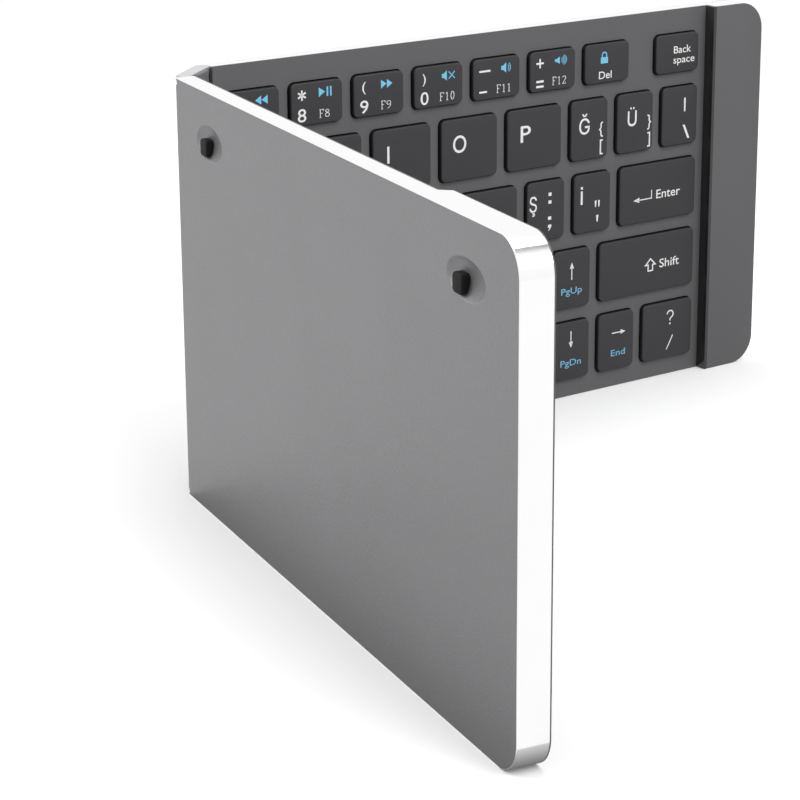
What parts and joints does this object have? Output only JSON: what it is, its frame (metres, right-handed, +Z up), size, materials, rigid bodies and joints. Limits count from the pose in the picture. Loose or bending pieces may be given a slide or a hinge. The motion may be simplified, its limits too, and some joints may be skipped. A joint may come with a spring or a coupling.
{
  "type": "folding keyboard",
  "caption": "Slim keyboard in two rigid panels that fold together on a narrow twin-axis spine, shown standing half open on its front edge.",
  "frame": {"origin": "centre of the footprint of the half-open keyboard, on the surface it stands on", "axes": "+Z up, towards the keyboard's rear edge; +Y from the open side towards the spine; +X towards the panel with the Enter key"},
  "size_m": [0.2562, 0.1062, 0.092],
  "materials": {
    "back_plate": "bead blasted and anodised mid grey, satin",
    "edge_frame": "bright anodised, lightly polished",
    "deck": "fine texture, dark grey",
    "trim": "black, gloss",
    "feet": "matte black",
    "steel": "mill finish",
    "membrane": "clear film",
    "domes": "moulded silicone",
    "linkage": "moulded nylon",
    "battery": "foil pouch",
    "board": "green solder mask",
    "spine": "bright anodised, satin",
    "spine_cover": "dark grey, matte",
    "flex": "polyimide film",
    "keycap": "fine spark texture, dark grey"
  },
  "bodies": {
    "spine": {"hinge_spine": "spine", "spine_inner_cover": "spine_cover", "left_hinge_pins": "steel", "right_hinge_pins": "steel", "flex_cable": "flex"},
    "left_half": {"left_back_plate": "back_plate", "left_edge_frame": "edge_frame", "left_deck": "deck", "left_end_cover": "deck", "left_rubber_feet": "feet", "left_base_plate": "steel", "left_membrane": "membrane", "left_rubber_domes": "domes", "left_scissors": "linkage", "battery": "battery", "left_magnets": "steel", "left_hinge_leaves": "steel"},
    "right_half": {"right_back_plate": "back_plate", "right_edge_frame": "edge_frame", "right_deck": "deck", "right_end_cover": "deck", "right_trim_strip": "trim", "right_rubber_feet": "feet", "right_base_plate": "steel", "right_membrane": "membrane", "right_rubber_domes": "domes", "right_scissors": "linkage", "main_board": "board", "usb_socket": "steel", "right_magnets": "steel", "right_hinge_leaves": "steel"},
    "left_number_keys": {"left_number_keys": "keycap"},
    "left_upper_keys": {"left_upper_keys": "keycap"},
    "left_home_keys": {"left_home_keys": "keycap"},
    "left_lower_keys": {"left_lower_keys": "keycap"},
    "left_bottom_keys": {"left_bottom_keys": "keycap"},
    "right_inner_upper_keys": {"right_inner_upper_keys": "keycap"},
    "right_inner_lower_keys": {"right_inner_lower_keys": "keycap"},
    "key_7": {"key_7": "keycap"},
    "key_8": {"key_8": "keycap"},
    "key_9": {"key_9": "keycap"},
    "key_0": {"key_0": "keycap"},
    "key_minus": {"key_minus": "keycap"},
    "key_equals": {"key_equals": "keycap"},
    "key_delete": {"key_delete": "keycap"},
    "key_backspace": {"key_backspace": "keycap"},
    "key_i": {"key_i": "keycap"},
    "key_o": {"key_o": "keycap"},
    "key_p": {"key_p": "keycap"},
    "key_g_breve": {"key_g_breve": "keycap"},
    "key_u_umlaut": {"key_u_umlaut": "keycap"},
    "key_backslash": {"key_backslash": "keycap"},
    "key_s_cedilla": {"key_s_cedilla": "keycap"},
    "key_i_dotted": {"key_i_dotted": "keycap"},
    "key_enter": {"key_enter": "keycap"},
    "key_up": {"key_up": "keycap"},
    "key_shift": {"key_shift": "keycap"},
    "key_down": {"key_down": "keycap"},
    "key_right": {"key_right": "keycap"},
    "key_slash": {"key_slash": "keycap"}
  },
  "joints": [
    {"name": "fold_left", "type": "hinge", "parent": "spine", "child": "left_half", "pos_m": [-0.00535, 0.05142, 0.046], "axis": [0, 0, 1], "range_deg": [-39.75, 50.25]},
    {"name": "fold_right", "type": "hinge", "parent": "spine", "child": "right_half", "pos_m": [0.00535, 0.05142, 0.046], "axis": [0, 0, -1], "range_deg": [-39.75, 50.25]},
    {"name": "press_left_number_keys", "type": "slide", "parent": "left_half", "child": "left_number_keys", "axis": [-0.6394, 0.7688, 0], "range_m": [0, 0.0012], "stiffness_N_per_m": 1200, "springref_m": -0.0015, "deforming": ["left_rubber_domes", "left_scissors"]},
    {"name": "press_left_upper_keys", "type": "slide", "parent": "left_half", "child": "left_upper_keys", "axis": [-0.6394, 0.7688, 0], "range_m": [0, 0.0012], "stiffness_N_per_m": 1200, "springref_m": -0.0015, "deforming": ["left_rubber_domes", "left_scissors"]},
    {"name": "press_left_home_keys", "type": "slide", "parent": "left_half", "child": "left_home_keys", "axis": [-0.6394, 0.7688, 0], "range_m": [0, 0.0012], "stiffness_N_per_m": 1200, "springref_m": -0.0015, "deforming": ["left_rubber_domes", "left_scissors"]},
    {"name": "press_left_lower_keys", "type": "slide", "parent": "left_half", "child": "left_lower_keys", "axis": [-0.6394, 0.7688, 0], "range_m": [0, 0.0012], "stiffness_N_per_m": 1200, "springref_m": -0.0015, "deforming": ["left_rubber_domes", "left_scissors"]},
    {"name": "press_left_bottom_keys", "type": "slide", "parent": "left_half", "child": "left_bottom_keys", "axis": [-0.6394, 0.7688, 0], "range_m": [0, 0.0012], "stiffness_N_per_m": 1200, "springref_m": -0.0015, "deforming": ["left_rubber_domes", "left_scissors"]},
    {"name": "press_right_inner_upper_keys", "type": "slide", "parent": "right_half", "child": "right_inner_upper_keys", "axis": [0.6394, 0.7688, 0], "range_m": [0, 0.0012], "stiffness_N_per_m": 1200, "springref_m": -0.0015, "deforming": ["right_rubber_domes", "right_scissors"]},
    {"name": "press_right_inner_lower_keys", "type": "slide", "parent": "right_half", "child": "right_inner_lower_keys", "axis": [0.6394, 0.7688, 0], "range_m": [0, 0.0012], "stiffness_N_per_m": 1200, "springref_m": -0.0015, "deforming": ["right_rubber_domes", "right_scissors"]},
    {"name": "press_key_7", "type": "slide", "parent": "right_half", "child": "key_7", "axis": [0.6394, 0.7688, 0], "range_m": [0, 0.0012], "stiffness_N_per_m": 300, "springref_m": -0.0015, "deforming": ["right_rubber_domes", "right_scissors"]},
    {"name": "press_key_8", "type": "slide", "parent": "right_half", "child": "key_8", "axis": [0.6394, 0.7688, 0], "range_m": [0, 0.0012], "stiffness_N_per_m": 300, "springref_m": -0.0015, "deforming": ["right_rubber_domes", "right_scissors"]},
    {"name": "press_key_9", "type": "slide", "parent": "right_half", "child": "key_9", "axis": [0.6394, 0.7688, 0], "range_m": [0, 0.0012], "stiffness_N_per_m": 300, "springref_m": -0.0015, "deforming": ["right_rubber_domes", "right_scissors"]},
    {"name": "press_key_0", "type": "slide", "parent": "right_half", "child": "key_0", "axis": [0.6394, 0.7688, 0], "range_m": [0, 0.0012], "stiffness_N_per_m": 300, "springref_m": -0.0015, "deforming": ["right_rubber_domes", "right_scissors"]},
    {"name": "press_key_minus", "type": "slide", "parent": "right_half", "child": "key_minus", "axis": [0.6394, 0.7688, 0], "range_m": [0, 0.0012], "stiffness_N_per_m": 300, "springref_m": -0.0015, "deforming": ["right_rubber_domes", "right_scissors"]},
    {"name": "press_key_equals", "type": "slide", "parent": "right_half", "child": "key_equals", "axis": [0.6394, 0.7688, 0], "range_m": [0, 0.0012], "stiffness_N_per_m": 300, "springref_m": -0.0015, "deforming": ["right_rubber_domes", "right_scissors"]},
    {"name": "press_key_delete", "type": "slide", "parent": "right_half", "child": "key_delete", "axis": [0.6394, 0.7688, 0], "range_m": [0, 0.0012], "stiffness_N_per_m": 300, "springref_m": -0.0015, "deforming": ["right_rubber_domes", "right_scissors"]},
    {"name": "press_key_backspace", "type": "slide", "parent": "right_half", "child": "key_backspace", "axis": [0.6394, 0.7688, 0], "range_m": [0, 0.0012], "stiffness_N_per_m": 300, "springref_m": -0.0015, "deforming": ["right_rubber_domes", "right_scissors"]},
    {"name": "press_key_i", "type": "slide", "parent": "right_half", "child": "key_i", "axis": [0.6394, 0.7688, 0], "range_m": [0, 0.0012], "stiffness_N_per_m": 300, "springref_m": -0.0015, "deforming": ["right_rubber_domes", "right_scissors"]},
    {"name": "press_key_o", "type": "slide", "parent": "right_half", "child": "key_o", "axis": [0.6394, 0.7688, 0], "range_m": [0, 0.0012], "stiffness_N_per_m": 300, "springref_m": -0.0015, "deforming": ["right_rubber_domes", "right_scissors"]},
    {"name": "press_key_p", "type": "slide", "parent": "right_half", "child": "key_p", "axis": [0.6394, 0.7688, 0], "range_m": [0, 0.0012], "stiffness_N_per_m": 300, "springref_m": -0.0015, "deforming": ["right_rubber_domes", "right_scissors"]},
    {"name": "press_key_g_breve", "type": "slide", "parent": "right_half", "child": "key_g_breve", "axis": [0.6394, 0.7688, 0], "range_m": [0, 0.0012], "stiffness_N_per_m": 300, "springref_m": -0.0015, "deforming": ["right_rubber_domes", "right_scissors"]},
    {"name": "press_key_u_umlaut", "type": "slide", "parent": "right_half", "child": "key_u_umlaut", "axis": [0.6394, 0.7688, 0], "range_m": [0, 0.0012], "stiffness_N_per_m": 300, "springref_m": -0.0015, "deforming": ["right_rubber_domes", "right_scissors"]},
    {"name": "press_key_backslash", "type": "slide", "parent": "right_half", "child": "key_backslash", "axis": [0.6394, 0.7688, 0], "range_m": [0, 0.0012], "stiffness_N_per_m": 300, "springref_m": -0.0015, "deforming": ["right_rubber_domes", "right_scissors"]},
    {"name": "press_key_s_cedilla", "type": "slide", "parent": "right_half", "child": "key_s_cedilla", "axis": [0.6394, 0.7688, 0], "range_m": [0, 0.0012], "stiffness_N_per_m": 300, "springref_m": -0.0015, "deforming": ["right_rubber_domes", "right_scissors"]},
    {"name": "press_key_i_dotted", "type": "slide", "parent": "right_half", "child": "key_i_dotted", "axis": [0.6394, 0.7688, 0], "range_m": [0, 0.0012], "stiffness_N_per_m": 300, "springref_m": -0.0015, "deforming": ["right_rubber_domes", "right_scissors"]},
    {"name": "press_key_enter", "type": "slide", "parent": "right_half", "child": "key_enter", "axis": [0.6394, 0.7688, 0], "range_m": [0, 0.0012], "stiffness_N_per_m": 300, "springref_m": -0.0015, "deforming": ["right_rubber_domes", "right_scissors"]},
    {"name": "press_key_up", "type": "slide", "parent": "right_half", "child": "key_up", "axis": [0.6394, 0.7688, 0], "range_m": [0, 0.0012], "stiffness_N_per_m": 300, "springref_m": -0.0015, "deforming": ["right_rubber_domes", "right_scissors"]},
    {"name": "press_key_shift", "type": "slide", "parent": "right_half", "child": "key_shift", "axis": [0.6394, 0.7688, 0], "range_m": [0, 0.0012], "stiffness_N_per_m": 300, "springref_m": -0.0015, "deforming": ["right_rubber_domes", "right_scissors"]},
    {"name": "press_key_down", "type": "slide", "parent": "right_half", "child": "key_down", "axis": [0.6394, 0.7688, 0], "range_m": [0, 0.0012], "stiffness_N_per_m": 300, "springref_m": -0.0015, "deforming": ["right_rubber_domes", "right_scissors"]},
    {"name": "press_key_right", "type": "slide", "parent": "right_half", "child": "key_right", "axis": [0.6394, 0.7688, 0], "range_m": [0, 0.0012], "stiffness_N_per_m": 300, "springref_m": -0.0015, "deforming": ["right_rubber_domes", "right_scissors"]},
    {"name": "press_key_slash", "type": "slide", "parent": "right_half", "child": "key_slash", "axis": [0.6394, 0.7688, 0], "range_m": [0, 0.0012], "stiffness_N_per_m": 300, "springref_m": -0.0015, "deforming": ["right_rubber_domes", "right_scissors"]}
  ]
}
